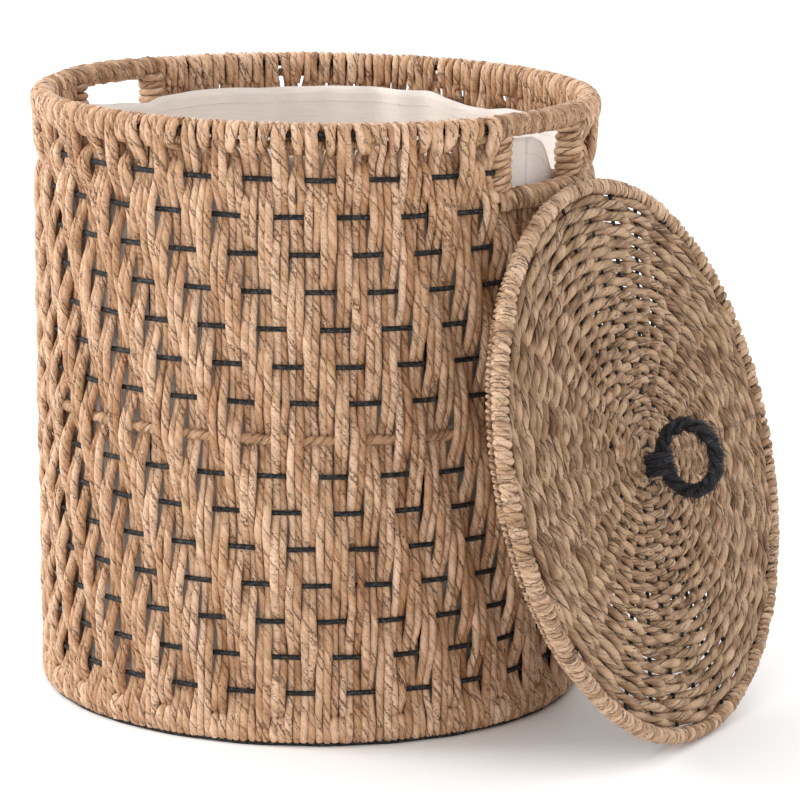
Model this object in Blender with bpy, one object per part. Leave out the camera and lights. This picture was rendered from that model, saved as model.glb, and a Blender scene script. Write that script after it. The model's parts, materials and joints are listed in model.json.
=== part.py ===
"""Round seagrass storage basket on a black wire frame, with a cotton liner and a loose round lid.

Blender 4.5, metres, +Z up. The origin is the centre of the underside that the basket stands on. The two hand
holes face +X and -X. The lid stands on its rim beside the +X side and leans on the wall, its face outwards.
"""

import math

import bmesh
import bpy
from mathutils import Matrix, Vector

# Basket
HEIGHT = 0.4832
TOP_RADIUS = 0.225
BASE_RADIUS = 0.219
WALL = 0.015  # two layers of cord with the wire between them
SEGMENTS = 24  # flats round every ring, so that the flats of neighbours line up
GAP = 0.0003  # between touching pieces
FLAT = math.cos(math.pi / SEGMENTS)  # a flat's distance from the axis, per unit of its corners' radius

# Wire frame
WIRE = 0.002  # radius of the hoops' wire
HOOP_COUNT = 15
HOOP_TOP = 0.4392
HOOP_PITCH = 0.0284
HOOP_DEPTH = 0.0075  # from the outer face to the hoops' centre line
HOOP_ROOM = 0.0004  # round a wire in its groove
WRAPPED_HOOP = 8
WRAP_OUTSIDE = 0.003  # from the outer face to the wrapped hoop's outer side
WRAP_INSIDE = 0.0105
WRAP_HALF = 0.0045
UPRIGHT = 0.0015
UPRIGHT_ANGLES = range(30, 360, 60)
UPRIGHT_DEPTH = 0.0128  # inside the hoops, between them and the wall's inner face
UPRIGHT_NOTCH_DEPTH = 0.01095
UPRIGHT_NOTCH_HALF = 0.0018

# Rim and base bands
TOP_WIRE = 0.0025
TOP_WIRE_Z = 0.4735
UPPER_COLLAR_Z = 0.4652
LOWER_COLLAR_Z = 0.018
COLLAR_HALF = 0.0026  # half of the slot that a collar wire lies in
RIM_BEVEL = 0.003
BASE_RING_SIDE = 0.0035
BASE_RING_RADIUS = 0.2155
BASE_BAND_INNER = 0.2065

# Hand holes
HOLE_ANGLE = 11.2  # from the hole's middle to its side
POST_ANGLE = 14.8
NOTCH_HALF = 0.0578
SILL_BOTTOM = 0.414
SILL_TOP = 0.4265
HANDLE_WIRE_ANGLE = 13.0
HANDLE_WIRE_Z = 0.42
HANDLE_WIRE_DEPTH = 0.0177
HANDLE_WIRE_BEND = 1.2  # how far before its upright ends the wire starts to bend up, in degrees
HANDLE_WIRE_LIFT = 0.003

# Floor of the basket
FLOOR_RADIUS = 0.2042
FLOOR_THICK = 0.0105
FLOOR_SPOKES = 16

# Liner
LINER_DEPTH = 0.0162  # from the basket's outer face to the liner's
LINER_DEPTH_AT_HOLES = 0.020  # clear of the bent wires
LINER_THICK = 0.002
LINER_FLOOR_Z = 0.0125
LINER_TOP = 0.4585
LINER_DIP = 0.4255  # at the hand holes
LINER_SHOULDER = 0.450  # beside them

# Lid, in its own axes: X level, Y up the face, Z out of the face
LID_RADIUS = 0.2205
LID_HALF = 0.007
LID_BEVEL = 0.0035
LID_BORDER_INNER = 0.208
LID_WIRE_RADIUS = 0.2107
LID_GROOVE = 0.2132
LID_DISC_RADIUS = 0.2055
LID_DISC_HALF = 0.0045
LID_SPOKES = 32
SPOKE = 0.00125
HUB_RADIUS = 0.0205
LOCATING_RADIUS = 0.2035
LOCATING_WIRE = 0.003
LOCATING_BACK = 0.0155
TIE_COUNT = 6
TIE_HALF_ANGLE = 1.7
TIE_OUTSIDE = 0.001  # past the ring's centre line
LID_AZIMUTH = math.radians(5.6)
LID_TILT = math.radians(15.5)

# Rope ring on the lid
ROPE = 0.0052
ROPE_RING_RADIUS = 0.0245
ROPE_RING_OUT = 0.0345
ROPE_RING_DROOP = 0.007
ROPE_PIVOT_OUT = 0.0112
LASHING_INNER = 0.0076
LASHING_OUTER = 0.0098
LASHING_HALF = 0.0035


def wall_radius(z):
    """The tapered basket's outer radius at a height."""
    return BASE_RADIUS + (TOP_RADIUS - BASE_RADIUS) * z / HEIGHT


def make_material(name, colour, roughness, metallic=0.0):
    material = bpy.data.materials.new(name)
    material.use_nodes = True
    shader = material.node_tree.nodes["Principled BSDF"]
    shader.inputs["Base Color"].default_value = (*colour, 1.0)
    shader.inputs["Roughness"].default_value = roughness
    shader.inputs["Metallic"].default_value = metallic
    material.diffuse_color = (*colour, 1.0)
    return material


def finish(name, bm, look, parent=None, location=(0.0, 0.0, 0.0)):
    """Turn a bmesh into a named object with its own material."""
    bmesh.ops.recalc_face_normals(bm, faces=bm.faces)
    mesh = bpy.data.meshes.new(name)
    bm.to_mesh(mesh)
    bm.free()
    mesh.shade_smooth()
    mesh.set_sharp_from_angle(angle=math.radians(35))
    mesh.materials.append(make_material(name, *look))
    piece = bpy.data.objects.new(name, mesh)
    bpy.context.scene.collection.objects.link(piece)
    piece.parent = parent
    piece.location = location
    return piece


def sweep(bm, sections, closed):
    """Skin a row of sections that have the same number of points, each a loop."""
    rows = [[bm.verts.new(point) for point in section] for section in sections]
    count = len(rows[0])
    for i in range(len(rows) if closed else len(rows) - 1):
        row, following = rows[i], rows[(i + 1) % len(rows)]
        for k in range(count):
            bm.faces.new((row[k], row[(k + 1) % count], following[(k + 1) % count], following[k]))
    if not closed:
        bm.faces.new(rows[0][::-1])
        bm.faces.new(rows[-1])


def turned(bm, profile, start=0.0, end=360.0, steps=SEGMENTS):
    """Turn a closed profile of (radius, height) points round Z, all the way or from start to end in degrees."""
    closed = end - start >= 360.0
    sections = []
    for i in range(steps if closed else steps + 1):
        angle = math.radians(start + (end - start) * i / steps)
        sections.append([(r * math.cos(angle), r * math.sin(angle), z) for r, z in profile])
    sweep(bm, sections, closed)


def circle(radius, z, wire, sides=5):
    """A wire's round section, as a profile."""
    angles = [2 * math.pi * (k + 0.5) / sides for k in range(sides)]
    return [(radius + wire * math.cos(a), z + wire * math.sin(a)) for a in angles]


def tube(bm, points, wire, sides=6):
    """A round rod along a few points."""
    points = [Vector(p) for p in points]
    sections = []
    for i, point in enumerate(points):
        along = (points[min(i + 1, len(points) - 1)] - points[max(i - 1, 0)]).normalized()
        side = along.cross(Vector((point.x, point.y, 0.0)).normalized())
        side = side.normalized() if side.length > 0.1 else along.orthogonal().normalized()
        other = along.cross(side)
        turns = [2 * math.pi * k / sides for k in range(sides)]
        sections.append([point + wire * (math.cos(a) * side + math.sin(a) * other) for a in turns])
    sweep(bm, sections, closed=False)


def disc(bm, radius, low, high, segments=SEGMENTS):
    angles = [2 * math.pi * i / segments for i in range(segments)]
    levels = [[(radius * math.cos(a), radius * math.sin(a), z) for a in angles] for z in (low, high)]
    sweep(bm, levels, closed=False)


def slot_corners(k, count, distance, z, half):
    """The two points either side of radial line k, at a distance from the axis and half off the line."""
    angle = 2 * math.pi * k / count
    along = Vector((math.cos(angle), math.sin(angle), 0.0))
    across = Vector((-along.y, along.x, 0.0))
    middle = along * math.sqrt(distance**2 - half**2) + Vector((0.0, 0.0, z))
    return middle - half * across, middle + half * across


def slotted_disc(bm, radius, plain, open_side, slot_floor, slot_half, hub, count):
    """A disc with a slot for each spoke and a round pocket in its middle, open on one face and at the edge.

    plain and open_side are the heights of its two faces, and slot_floor is the height of the slots' floors.
    """

    def pair(k, distance, z):
        return [bm.verts.new(point) for point in slot_corners(k, count, distance, z, slot_half)]

    face = [pair(k, radius, plain) for k in range(count)]
    outer = [pair(k, radius, open_side) for k in range(count)]
    outer_floor = [pair(k, radius, slot_floor) for k in range(count)]
    inner = [pair(k, hub, open_side) for k in range(count)]
    inner_floor = [pair(k, hub, slot_floor) for k in range(count)]
    star = []
    for k in range(count):
        n = (k + 1) % count
        for side in (0, 1):
            bm.faces.new((outer_floor[k][side], outer[k][side], inner[k][side], inner_floor[k][side]))
        bm.faces.new((outer[k][1], outer[n][0], inner[n][0], inner[k][1]))
        bm.faces.new((inner[k][1], inner[n][0], inner_floor[n][0], inner_floor[k][1]))
        bm.faces.new((*face[k], *outer_floor[k][::-1]))
        low = (outer_floor[k][1], face[k][1], face[n][0], outer_floor[n][0])
        bm.faces.new((*low, outer[n][0], outer[k][1]))
        star += [inner_floor[k][0], *outer_floor[k], inner_floor[k][1]]
    bm.faces.new([v for p in face for v in p])
    bm.faces.new(star)


def spider(bm, count, hub, reach, z):
    """Radial wires welded to a small round plate."""
    levels = []
    for level in (z - SPOKE, z + SPOKE):
        outline = []
        for k in range(count):
            near = slot_corners(k, count, hub, level, SPOKE)
            far = slot_corners(k, count, reach, level, SPOKE)
            outline += [near[0], *far, near[1]]
        levels.append(outline)
    sweep(bm, levels, closed=False)


# Looks: colour, roughness, metallic
SEAGRASS = ((0.42, 0.25, 0.13), 0.75)
SEAGRASS_PALE = ((0.55, 0.38, 0.22), 0.75)
BLACK_STEEL = ((0.012, 0.012, 0.012), 0.45, 0.3)
BLACK_ROPE = ((0.015, 0.014, 0.013), 0.85)
COTTON = ((0.80, 0.75, 0.67), 0.9)


def make_ring(name, radius, z, wire, look, parent=None):
    bm = bmesh.new()
    turned(bm, circle(radius, z, wire))
    return finish(name, bm, look, parent)


def hoop_height(number):
    return HOOP_TOP - (number - 1) * HOOP_PITCH


def make_frame():
    """The welded wire frame: rings, hoops and uprights."""
    depth = TOP_RADIUS - HOOP_DEPTH
    make_ring("top_ring", depth, TOP_WIRE_Z, TOP_WIRE, BLACK_STEEL)
    for name, z in (("upper_collar_ring", UPPER_COLLAR_Z), ("lower_collar_ring", LOWER_COLLAR_Z)):
        make_ring(name, wall_radius(z) - HOOP_DEPTH, z, WIRE, BLACK_STEEL)
    for number in range(1, HOOP_COUNT + 1):
        z = hoop_height(number)
        name = f"hoop_{number:02d}"
        if number > 1:
            make_ring(name, wall_radius(z) - HOOP_DEPTH, z, WIRE, BLACK_STEEL)
            continue
        step = 360 / SEGMENTS
        profile = circle(wall_radius(z) - HOOP_DEPTH, z, WIRE)
        for end, start in (("back", step), ("front", 180 + step)):  # it stops at the hand holes' posts
            bm = bmesh.new()
            turned(bm, profile, start, start + 180 - 2 * step, SEGMENTS // 2 - 2)
            finish(f"{name}_{end}", bm, BLACK_STEEL)
    bm = bmesh.new()
    inner, outer, top = BASE_RING_RADIUS - BASE_RING_SIDE, BASE_RING_RADIUS, BASE_RING_SIDE
    turned(bm, [(inner, 0.0), (outer, 0.0), (outer, top), (inner, top)])
    finish("base_ring", bm, BLACK_STEEL)
    for number, angle in enumerate(map(math.radians, UPRIGHT_ANGLES), start=1):
        ends = []
        for z in (LOWER_COLLAR_Z - COLLAR_HALF + GAP, UPPER_COLLAR_Z + COLLAR_HALF - GAP):
            radius = wall_radius(z) - UPRIGHT_DEPTH
            ends.append((radius * math.cos(angle), radius * math.sin(angle), z))
        bm = bmesh.new()
        tube(bm, ends, UPRIGHT)
        finish(f"upright_{number}", bm, BLACK_STEEL)


def make_rim():
    """The cord wrap over the top ring, open below, where the cords run down."""
    outer, inner = TOP_RADIUS, TOP_RADIUS - WALL
    low = UPPER_COLLAR_Z + COLLAR_HALF
    room = TOP_WIRE + HOOP_ROOM
    middle = TOP_RADIUS - HOOP_DEPTH
    groove = TOP_WIRE_Z + room
    profile = [
        (inner, low),
        (inner, HEIGHT - RIM_BEVEL),
        (inner + RIM_BEVEL, HEIGHT),
        (outer - RIM_BEVEL, HEIGHT),
        (outer, HEIGHT - RIM_BEVEL),
        (outer, low),
        (middle + room, low),
        (middle + room, groove),
        (middle - room, groove),
        (middle - room, low),
    ]
    bm = bmesh.new()
    turned(bm, profile)
    finish("rim_wrap", bm, SEAGRASS_PALE)


def cut_away(piece, cutter):
    cutter.hide_render = True
    cutter.display_type = "WIRE"
    cut = piece.modifiers.new(cutter.name, "BOOLEAN")
    cut.operation = "DIFFERENCE"
    cut.object = cutter


def upright_star(z):
    """At a height, a star inside the wall whose six arms reach into it, one for each upright."""
    root = wall_radius(z) - WALL - 0.004
    tip = wall_radius(z) - UPRIGHT_NOTCH_DEPTH
    outline = []
    for angle in map(math.radians, UPRIGHT_ANGLES):
        out = Vector((math.cos(angle), math.sin(angle), 0.0))
        aside = Vector((-out.y, out.x, 0.0)) * UPRIGHT_NOTCH_HALF
        up = Vector((0.0, 0.0, z))
        outline += [up + out * root - aside, up + out * tip - aside, up + out * tip + aside, up + out * root + aside]
    return outline


def make_side():
    """The woven wall, with grooves for the hoops and the uprights, cut back for the hand holes."""
    low, high = LOWER_COLLAR_Z + COLLAR_HALF, UPPER_COLLAR_Z - COLLAR_HALF
    profile = [(wall_radius(low) - WALL, low), (wall_radius(low), low)]
    for number in range(HOOP_COUNT, 0, -1):
        z = hoop_height(number)
        if number == WRAPPED_HOOP:
            half, depth = WRAP_HALF + GAP, WRAP_INSIDE + GAP
        else:
            half, depth = WIRE + HOOP_ROOM, HOOP_DEPTH + WIRE + HOOP_ROOM
        outer = wall_radius(z)
        profile += [(outer, z - half), (outer - depth, z - half), (outer - depth, z + half), (outer, z + half)]
    profile += [(wall_radius(high), high), (wall_radius(high) - WALL, high)]
    bm = bmesh.new()
    turned(bm, profile)
    side = finish("side_weave", bm, SEAGRASS)

    bm = bmesh.new()
    reach = TOP_RADIUS + WALL
    outline = [(-reach, -NOTCH_HALF), (reach, -NOTCH_HALF), (reach, NOTCH_HALF), (-reach, NOTCH_HALF)]
    sweep(bm, [[(x, y, z) for x, y in outline] for z in (SILL_BOTTOM - GAP, HEIGHT)], closed=False)
    cut_away(side, finish("hand_hole_cutter", bm, SEAGRASS))
    bm = bmesh.new()
    sweep(bm, [upright_star(z) for z in (0.0, HEIGHT)], closed=False)
    cut_away(side, finish("upright_cutter", bm, SEAGRASS))

    z = hoop_height(WRAPPED_HOOP)
    outer = wall_radius(z)
    room = WIRE + HOOP_ROOM
    wrap = [
        (outer - WRAP_INSIDE, z - WRAP_HALF),
        (outer - WRAP_OUTSIDE, z - WRAP_HALF),
        (outer - WRAP_OUTSIDE, z + WRAP_HALF),
        (outer - WRAP_INSIDE, z + WRAP_HALF),
        (outer - WRAP_INSIDE, z + room),
        (outer - HOOP_DEPTH + room, z + room),
        (outer - HOOP_DEPTH + room, z - room),
        (outer - WRAP_INSIDE, z - room),
    ]
    bm = bmesh.new()
    turned(bm, wrap)
    finish(f"hoop_{WRAPPED_HOOP:02d}_wrap", bm, SEAGRASS_PALE)


def make_hand_hole(side, facing):
    """The two posts, the sill and the bent wire of one hand hole; facing is its direction in degrees."""

    def block(name, start, end, low, high, steps):
        outer = wall_radius(low)
        inner = outer - WALL
        bm = bmesh.new()
        profile = [(inner, low), (outer, low), (outer, high), (inner, high)]
        turned(bm, profile, facing + start, facing + end, steps)
        finish(name, bm, SEAGRASS_PALE)

    post_top = UPPER_COLLAR_Z - COLLAR_HALF
    block(f"{side}_hole_front_post", -POST_ANGLE, -HOLE_ANGLE, SILL_TOP + GAP, post_top, 1)
    block(f"{side}_hole_back_post", HOLE_ANGLE, POST_ANGLE, SILL_TOP + GAP, post_top, 1)
    block(f"{side}_hole_sill", -POST_ANGLE, POST_ANGLE, SILL_BOTTOM, SILL_TOP, 4)

    corner, bend_top = HANDLE_WIRE_ANGLE - HANDLE_WIRE_BEND, HANDLE_WIRE_Z + HANDLE_WIRE_LIFT
    route = [(-HANDLE_WIRE_ANGLE, post_top), (-HANDLE_WIRE_ANGLE, bend_top)]
    route += [(corner * turn, HANDLE_WIRE_Z) for turn in (-1, -0.5, 0, 0.5, 1)]
    route += [(HANDLE_WIRE_ANGLE, bend_top), (HANDLE_WIRE_ANGLE, post_top)]
    radius = wall_radius(HANDLE_WIRE_Z) - HANDLE_WIRE_DEPTH
    points = []
    for angle, z in route:
        turn = math.radians(facing + angle)
        points.append((radius * math.cos(turn), radius * math.sin(turn), z))
    bm = bmesh.new()
    tube(bm, points, WIRE)
    finish(f"{side}_hole_wire", bm, BLACK_STEEL)


def make_floor():
    """The band over the base ring and the woven floor on its radial wires."""
    outer = wall_radius(LOWER_COLLAR_Z)
    low, high = BASE_RING_SIDE + GAP, LOWER_COLLAR_Z - COLLAR_HALF
    bm = bmesh.new()
    turned(bm, [(BASE_BAND_INNER, low), (outer, low), (outer, high), (BASE_BAND_INNER, high)])
    finish("base_wrap", bm, SEAGRASS_PALE)

    slot = SPOKE + GAP
    slot_floor = FLOOR_THICK - 2 * slot
    bm = bmesh.new()
    slotted_disc(bm, FLOOR_RADIUS, 0.0, FLOOR_THICK, slot_floor, slot, HUB_RADIUS, FLOOR_SPOKES)
    finish("floor_weave", bm, SEAGRASS)
    bm = bmesh.new()
    spider(bm, FLOOR_SPOKES, HUB_RADIUS - GAP, FLOOR_RADIUS - 2 * GAP, FLOOR_THICK - slot)
    finish("floor_spokes", bm, BLACK_STEEL)


def make_liner():
    """The loose cotton bag: a tapered side whose edge dips at the hand holes, and a round bottom."""
    floor_top = LINER_FLOOR_Z + LINER_THICK
    bottom = floor_top + GAP
    dips = {0: LINER_DIP, 1: LINER_DIP, 2: LINER_SHOULDER}
    sections = []
    for i in range(SEGMENTS):
        angle = 2 * math.pi * i / SEGMENTS
        from_hole = min(i % (SEGMENTS // 2), -i % (SEGMENTS // 2))
        top = dips.get(from_hole, LINER_TOP)
        depth = LINER_DEPTH_AT_HOLES if from_hole < 2 else LINER_DEPTH
        corners = []
        for inset, z in ((0.0, bottom), (0.0, top), (LINER_THICK, top), (LINER_THICK, bottom)):
            radius = wall_radius(z) - depth - inset
            corners.append((radius * math.cos(angle), radius * math.sin(angle), z))
        sections.append(corners)
    bm = bmesh.new()
    sweep(bm, sections, closed=True)
    finish("liner_side", bm, COTTON)
    bm = bmesh.new()
    disc(bm, wall_radius(0.0) - LINER_DEPTH_AT_HOLES, LINER_FLOOR_Z, floor_top)
    finish("liner_bottom", bm, COTTON)


def make_lid_axes():
    """An empty at the lid's centre, with its axes, where the rim stands on the floor and the ring meets the wall."""
    sine, cosine = math.sin(LID_TILT), math.cos(LID_TILT)
    centre_z = LID_RADIUS * cosine + (LID_HALF - LID_BEVEL) * sine + GAP
    contact_z = centre_z + LOCATING_RADIUS * cosine - LOCATING_BACK * sine
    reach = LOCATING_RADIUS * sine + LOCATING_BACK * cosine + LOCATING_WIRE
    distance = wall_radius(contact_z) + reach + GAP
    out = Vector((math.cos(LID_AZIMUTH), math.sin(LID_AZIMUTH), 0.0))
    normal = out * cosine + Vector((0.0, 0.0, sine))
    up_face = Vector((0.0, 0.0, cosine)) - out * sine
    axes = Matrix((up_face.cross(normal), up_face, normal)).transposed().to_4x4()
    axes.translation = out * distance + Vector((0.0, 0.0, centre_z))
    empty = bpy.data.objects.new("lid_axes", None)
    empty.matrix_world = axes
    bpy.context.scene.collection.objects.link(empty)
    return empty


def make_lid(axes):
    """The lid: a disc of rings woven over radial wires, its border, and the ring that centres it in the basket."""
    bevelled = LID_RADIUS - LID_BEVEL
    shoulder = LID_HALF - LID_BEVEL
    room = WIRE + HOOP_ROOM
    border = [
        (LID_BORDER_INNER, LID_HALF),
        (bevelled, LID_HALF),
        (LID_RADIUS, shoulder),
        (LID_RADIUS, -shoulder),
        (bevelled, -LID_HALF),
        (LID_BORDER_INNER, -LID_HALF),
        (LID_BORDER_INNER, -room),
        (LID_GROOVE, -room),
        (LID_GROOVE, room),
        (LID_BORDER_INNER, room),
    ]
    bm = bmesh.new()
    turned(bm, border)
    finish("lid_border_wrap", bm, SEAGRASS_PALE, axes)
    make_ring("lid_border_wire", LID_WIRE_RADIUS, 0.0, WIRE, BLACK_STEEL, axes)

    slot = SPOKE + GAP
    bm = bmesh.new()
    half = LID_DISC_HALF
    slotted_disc(bm, LID_DISC_RADIUS, half, -half, slot, slot, HUB_RADIUS, LID_SPOKES)
    finish("lid_weave", bm, SEAGRASS, axes)
    bm = bmesh.new()
    spider(bm, LID_SPOKES, HUB_RADIUS - GAP, LID_DISC_RADIUS - 2 * GAP, 0.0)
    finish("lid_spokes", bm, BLACK_STEEL, axes)

    make_ring("lid_locating_ring", LOCATING_RADIUS, -LOCATING_BACK, LOCATING_WIRE, SEAGRASS_PALE, axes)
    low, high = -LOCATING_BACK + LOCATING_WIRE + GAP, -half - GAP
    inner, outer = LOCATING_RADIUS * FLAT - LOCATING_WIRE, LOCATING_RADIUS * FLAT + TIE_OUTSIDE
    profile = [(inner, low), (outer, low), (outer, high), (inner, high)]
    for k in range(TIE_COUNT):
        middle = 360 * k / TIE_COUNT
        bm = bmesh.new()
        turned(bm, profile, middle - TIE_HALF_ANGLE, middle + TIE_HALF_ANGLE, 1)
        finish(f"locating_tie_{k + 1}", bm, SEAGRASS_PALE, axes)


def make_lid_handle(axes):
    """The rope ring through the middle of the lid, in the plane of the lid's Y and Z, and the loop that holds it."""
    bm = bmesh.new()
    steps, sides = 24, 8
    out = ROPE_RING_OUT - ROPE_PIVOT_OUT
    sections = []
    for i in range(steps):
        turn = 2 * math.pi * i / steps
        ray = Vector((0.0, math.cos(turn), math.sin(turn)))
        middle = ray * ROPE_RING_RADIUS + Vector((0.0, -ROPE_RING_DROOP, out))
        section = []
        for k in range(sides):
            around = 2 * math.pi * k / sides
            section.append(middle + ROPE * (math.cos(around) * ray + math.sin(around) * Vector((1, 0, 0))))
        sections.append(section)
    sweep(bm, sections, closed=True)
    finish("handle_ring", bm, BLACK_ROPE, axes, (0.0, 0.0, ROPE_PIVOT_OUT))

    bm = bmesh.new()
    foot = LID_DISC_HALF + GAP
    arc = [math.pi * k / 8 for k in range(9)]
    outline = [(LASHING_OUTER, foot)]
    outline += [(LASHING_OUTER * math.cos(a), ROPE_PIVOT_OUT + LASHING_OUTER * math.sin(a)) for a in arc]
    outline += [(-LASHING_OUTER, foot), (-LASHING_INNER, foot)]
    outline += [(-LASHING_INNER * math.cos(a), ROPE_PIVOT_OUT + LASHING_INNER * math.sin(a)) for a in arc]
    outline += [(LASHING_INNER, foot)]
    ends = [[(x, y, z) for x, z in outline] for y in (-LASHING_HALF, LASHING_HALF)]
    sweep(bm, ends, closed=False)
    finish("handle_lashing", bm, BLACK_ROPE, axes)


def main():
    for old in list(bpy.data.objects):
        bpy.data.objects.remove(old, do_unlink=True)
    make_frame()
    make_rim()
    make_side()
    make_hand_hole("right", 0)
    make_hand_hole("left", 180)
    make_floor()
    make_liner()
    axes = make_lid_axes()
    make_lid(axes)
    make_lid_handle(axes)


main()
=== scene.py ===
import json
import math

import bpy
import numpy as np
from mathutils import Matrix, Vector


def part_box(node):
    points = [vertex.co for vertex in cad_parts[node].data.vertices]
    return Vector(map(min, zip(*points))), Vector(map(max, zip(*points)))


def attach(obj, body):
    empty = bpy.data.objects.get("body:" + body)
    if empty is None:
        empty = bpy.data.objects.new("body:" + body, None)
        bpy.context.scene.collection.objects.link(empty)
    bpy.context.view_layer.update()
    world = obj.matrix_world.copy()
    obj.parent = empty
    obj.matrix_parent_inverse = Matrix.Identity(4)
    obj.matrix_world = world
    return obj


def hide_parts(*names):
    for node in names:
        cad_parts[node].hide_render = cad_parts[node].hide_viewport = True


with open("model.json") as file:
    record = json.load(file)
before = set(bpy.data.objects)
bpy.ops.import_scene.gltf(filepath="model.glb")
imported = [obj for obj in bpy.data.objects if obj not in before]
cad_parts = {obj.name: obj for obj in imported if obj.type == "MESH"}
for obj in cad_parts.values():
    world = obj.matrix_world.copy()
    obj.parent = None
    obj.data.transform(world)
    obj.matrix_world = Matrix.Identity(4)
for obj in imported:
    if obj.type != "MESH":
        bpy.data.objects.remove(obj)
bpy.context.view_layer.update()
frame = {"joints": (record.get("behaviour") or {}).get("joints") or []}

# The CAD model's own measures
RIM_HIGH, BAND_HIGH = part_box("rim_wrap")[1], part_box("base_wrap")[1]
TOP_RADIUS, BASE_RADIUS, TOP_Z = RIM_HIGH.x, BAND_HIGH.x, RIM_HIGH.z
HOOPS = 15
ROWS = [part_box("upper_collar_ring"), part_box("hoop_01_back")]
ROWS += [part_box(f"hoop_{number:02d}") for number in range(2, HOOPS + 1)]
ROWS += [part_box("lower_collar_ring")]
RING_LOW, RING_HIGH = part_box("base_ring")
BASE_RING_HALF = (RING_HIGH.z - RING_LOW.z) / 2
ROW_Z = np.array([(low.z + high.z) / 2 for low, high in ROWS])
TOP_RING_Z = sum(corner.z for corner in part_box("top_ring")) / 2
POST_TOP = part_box("right_hole_back_post")[1].z

# The wires and cords, in metres
WIRE = 0.002
HOOP_DEPTH = 0.0075  # from the wall's outer face to the hoops' centre line
CORD = 0.0032  # the cords' usual radius
OVER = 0.0041  # from a hoop's centre line to that of a cord in front of it or behind it
PERIODS = 29  # repeats of the weave round the wall
CORDS = 8 * PERIODS
PERIOD = 2 * math.pi / PERIODS
LID_RADIUS = 0.2205
VIEW = math.radians(-53.8)  # the side of the basket that faces the camera
FIRST_DASH = VIEW + math.radians(-2.0)  # the middle of one bare stretch of the third hoop
HOLE = math.radians(11.2)  # from the middle of a hand hole to its posts
POST = math.radians(15.6)  # and to the far side of its posts
POST_LOW, POST_HIGH = 0.4225, 0.4700
BAR_Z, SILL_Z, HOLE_WIRE_Z = 0.4743, 0.4172, 0.4200
UNTWISTED = 9.0  # a pitch so long that the twist does not show
UP = (0.0, 0.0, 1.0)

# The rope ring, in the lid's own axes
ROPE_RADIUS = 0.0245
ROPE_MIDDLE = np.array([0.0, -0.0042, 0.0395])
ROPE_OVAL = np.array([1.0, 1.07, 0.93])
ROPE_STRAND, ROPE_OFFSET, ROPE_TURNS = 0.0027, 0.0031, 4
ROPE_HAIRS, LASHING_HAIRS = 700, 150
LASHING_LOW, LASHING_HIGH, LASHING_OUT = -0.0135, 0.0040, 0.0130

rng = np.random.default_rng(7)


def wall_radius(z):
    """The wall's outer radius at a height."""
    share = (z - BAND_HIGH.z) / (TOP_Z - BAND_HIGH.z)
    return BASE_RADIUS + (TOP_RADIUS - BASE_RADIUS) * share


def ring_radius(z):
    """The radius of a hoop's centre line at a height."""
    return wall_radius(z) - HOOP_DEPTH


# Materials


def srgb(red, green, blue):
    """A colour given as 0 to 255 display values, made linear."""
    values = np.array([red, green, blue]) / 255
    return tuple(np.where(values < 0.04045, values / 12.92, ((values + 0.055) / 1.055) ** 2.4)) + (1.0,)


class Nodes:
    """A short way to add and join shader nodes."""

    def __init__(self, name):
        self.material = bpy.data.materials.new(name)
        self.material.use_nodes = True
        self.tree = self.material.node_tree
        self.shader = self.tree.nodes["Principled BSDF"]

    def add(self, kind, **values):
        node = self.tree.nodes.new(kind)
        for key, value in values.items():
            setattr(node, key, value)
        return node

    def join(self, source, target):
        self.tree.links.new(source, target)

    def math(self, operation, first, second=0.0, clamp=False):
        node = self.add("ShaderNodeMath", operation=operation, use_clamp=clamp)
        for socket, value in zip(node.inputs, (first, second)):
            if isinstance(value, (int, float)):
                socket.default_value = value
            else:
                self.join(value, socket)
        return node.outputs[0]

    def noise(self, vector, scale, detail=2.0, roughness=0.5):
        node = self.add("ShaderNodeTexNoise")
        node.inputs["Scale"].default_value = scale
        node.inputs["Detail"].default_value = detail
        node.inputs["Roughness"].default_value = roughness
        self.join(vector, node.inputs["Vector"])
        return node.outputs["Fac"]

    def stretch(self, vector, scale):
        node = self.add("ShaderNodeMapping")
        node.inputs["Scale"].default_value = scale
        self.join(vector, node.inputs["Vector"])
        return node.outputs["Vector"]

    def ramp(self, value, stops):
        node = self.add("ShaderNodeValToRGB")
        ramp = node.color_ramp
        while len(ramp.elements) < len(stops):
            ramp.elements.new(0.5)
        for element, (place, colour) in zip(ramp.elements, stops):
            element.position = place
            element.color = (colour,) * 3 + (1.0,) if isinstance(colour, (int, float)) else colour
        self.join(value, node.inputs["Fac"])
        return node.outputs["Color"]

    def mix(self, share, first, second, blend="MIX"):
        node = self.add("ShaderNodeMix", data_type="RGBA", blend_type=blend)
        for socket, value in zip((node.inputs[0], node.inputs[6], node.inputs[7]), (share, first, second)):
            if isinstance(value, (int, float, tuple)):
                socket.default_value = value
            else:
                self.join(value, socket)
        return node.outputs[2]

    def bump(self, height, distance, strength=1.0):
        node = self.add("ShaderNodeBump")
        node.inputs["Strength"].default_value = strength
        node.inputs["Distance"].default_value = distance
        self.join(height, node.inputs["Height"])
        self.join(node.outputs["Normal"], self.shader.inputs["Normal"])

    def attribute(self, name, output="Vector"):
        return self.add("ShaderNodeAttribute", attribute_name=name).outputs[output]


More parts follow.
